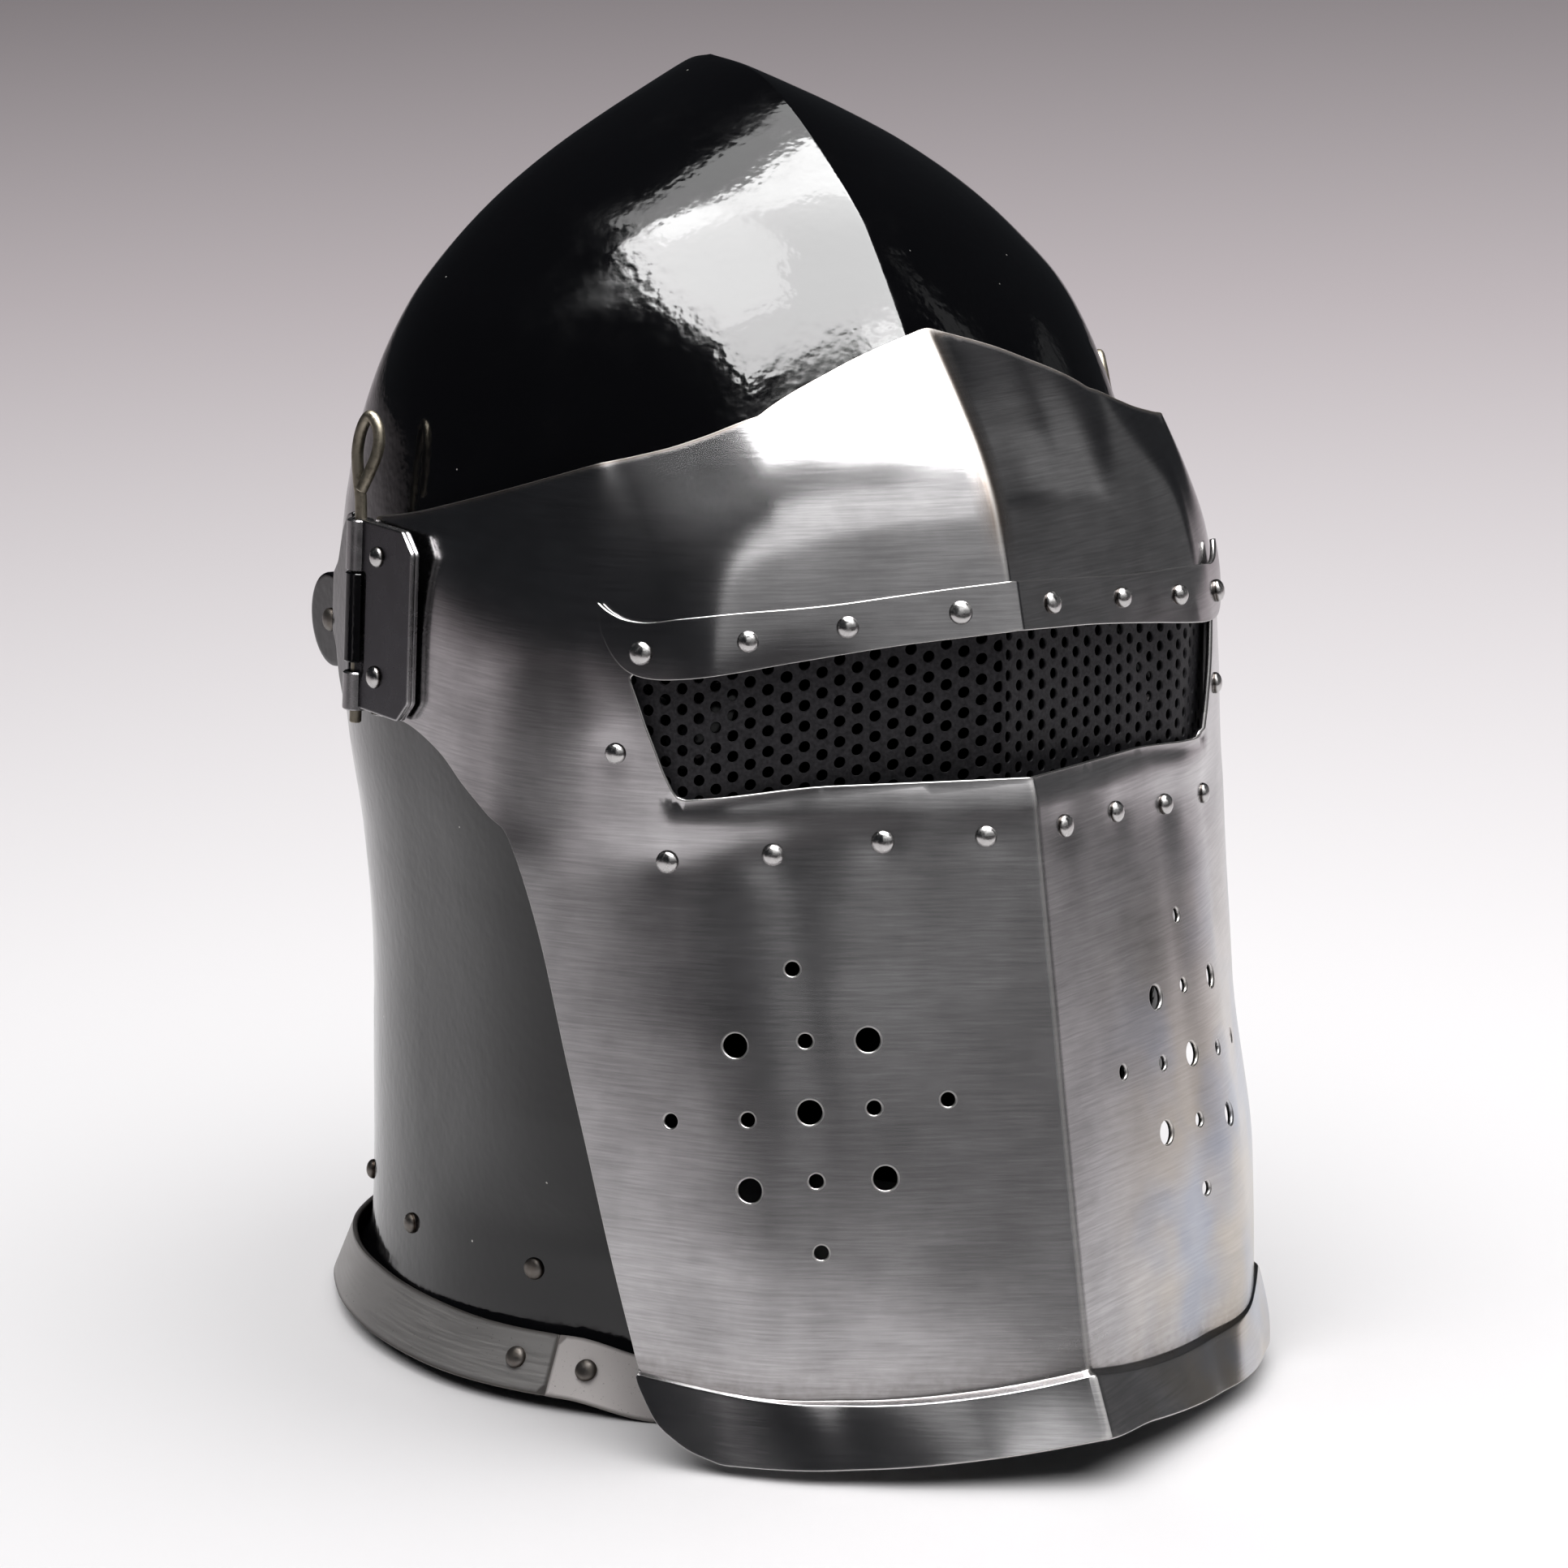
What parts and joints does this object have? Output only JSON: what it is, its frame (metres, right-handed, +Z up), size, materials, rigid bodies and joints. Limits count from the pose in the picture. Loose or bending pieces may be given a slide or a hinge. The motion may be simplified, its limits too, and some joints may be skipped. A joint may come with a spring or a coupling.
{
  "type": "visored helmet (barbute)",
  "caption": "Tall black barbute with a keeled skull, flared neck and a creased steel visor with a perforated sight plate, hung on temple hinges with pull-out pins.",
  "frame": {"origin": "under the middle of the helmet, on the surface it stands on", "axes": "+Z up, -Y the way the wearer faces, +X the wearer's left"},
  "size_m": [0.2276, 0.2985, 0.3239],
  "materials": {
    "black_enamel": "gloss black paint on steel plate",
    "brushed_steel": "satin, with fine level scratches",
    "polished_steel": "polished rivet heads",
    "dull_steel": "dull rivet heads",
    "sight_paint": "satin black paint",
    "pin_wire": "dull drawn wire"
  },
  "bodies": {
    "helmet": {"front_rim_left": "brushed_steel", "front_rim_right": "brushed_steel", "neck_rivet_1_left": "dull_steel", "neck_rivet_1_right": "dull_steel", "neck_rivet_2_left": "dull_steel", "neck_rivet_2_right": "dull_steel", "neck_rivet_3_left": "dull_steel", "neck_rivet_3_right": "dull_steel", "neck_rivet_4_left": "dull_steel", "neck_rivet_4_right": "dull_steel", "pivot_rivet_left": "polished_steel", "pivot_rivet_right": "polished_steel", "rear_rim": "brushed_steel", "rim_rivet_front_left": "dull_steel", "rim_rivet_front_right": "dull_steel", "rim_rivet_rear_left": "dull_steel", "rim_rivet_rear_right": "dull_steel", "skull": "black_enamel"},
    "visor": {"brow_rivet_1_left": "polished_steel", "brow_rivet_1_right": "polished_steel", "brow_rivet_2_left": "polished_steel", "brow_rivet_2_right": "polished_steel", "brow_rivet_3_left": "polished_steel", "brow_rivet_3_right": "polished_steel", "brow_rivet_4_left": "polished_steel", "brow_rivet_4_right": "polished_steel", "brow_strip": "brushed_steel", "cheek_rivet_1_left": "polished_steel", "cheek_rivet_1_right": "polished_steel", "cheek_rivet_2_left": "polished_steel", "cheek_rivet_2_right": "polished_steel", "cheek_rivet_3_left": "polished_steel", "cheek_rivet_3_right": "polished_steel", "cheek_rivet_4_left": "polished_steel", "cheek_rivet_4_right": "polished_steel", "hinge_leaf_left": "brushed_steel", "hinge_leaf_right": "brushed_steel", "leaf_rivet_1_left": "polished_steel", "leaf_rivet_1_right": "polished_steel", "leaf_rivet_2_left": "polished_steel", "leaf_rivet_2_right": "polished_steel", "pivot_arm_left": "black_enamel", "pivot_arm_right": "black_enamel", "side_rivet_1_left": "polished_steel", "side_rivet_1_right": "polished_steel", "sight_plate": "sight_paint", "visor": "brushed_steel"},
    "pin_left": {"hinge_pin_left": "pin_wire"},
    "pin_right": {"hinge_pin_right": "pin_wire"}
  },
  "joints": [
    {"name": "visor_lift", "type": "hinge", "parent": "helmet", "child": "visor", "pos_m": [0, 0.054, 0.1855], "axis": [-1, 0, 0], "range_deg": [0, 80]},
    {"name": "pin_left_pull", "type": "slide", "parent": "visor", "child": "pin_left", "axis": [-0.047, 0, 0.9989], "range_m": [0, 0.065]},
    {"name": "pin_right_pull", "type": "slide", "parent": "visor", "child": "pin_right", "axis": [0.047, 0, 0.9989], "range_m": [0, 0.065]}
  ]
}
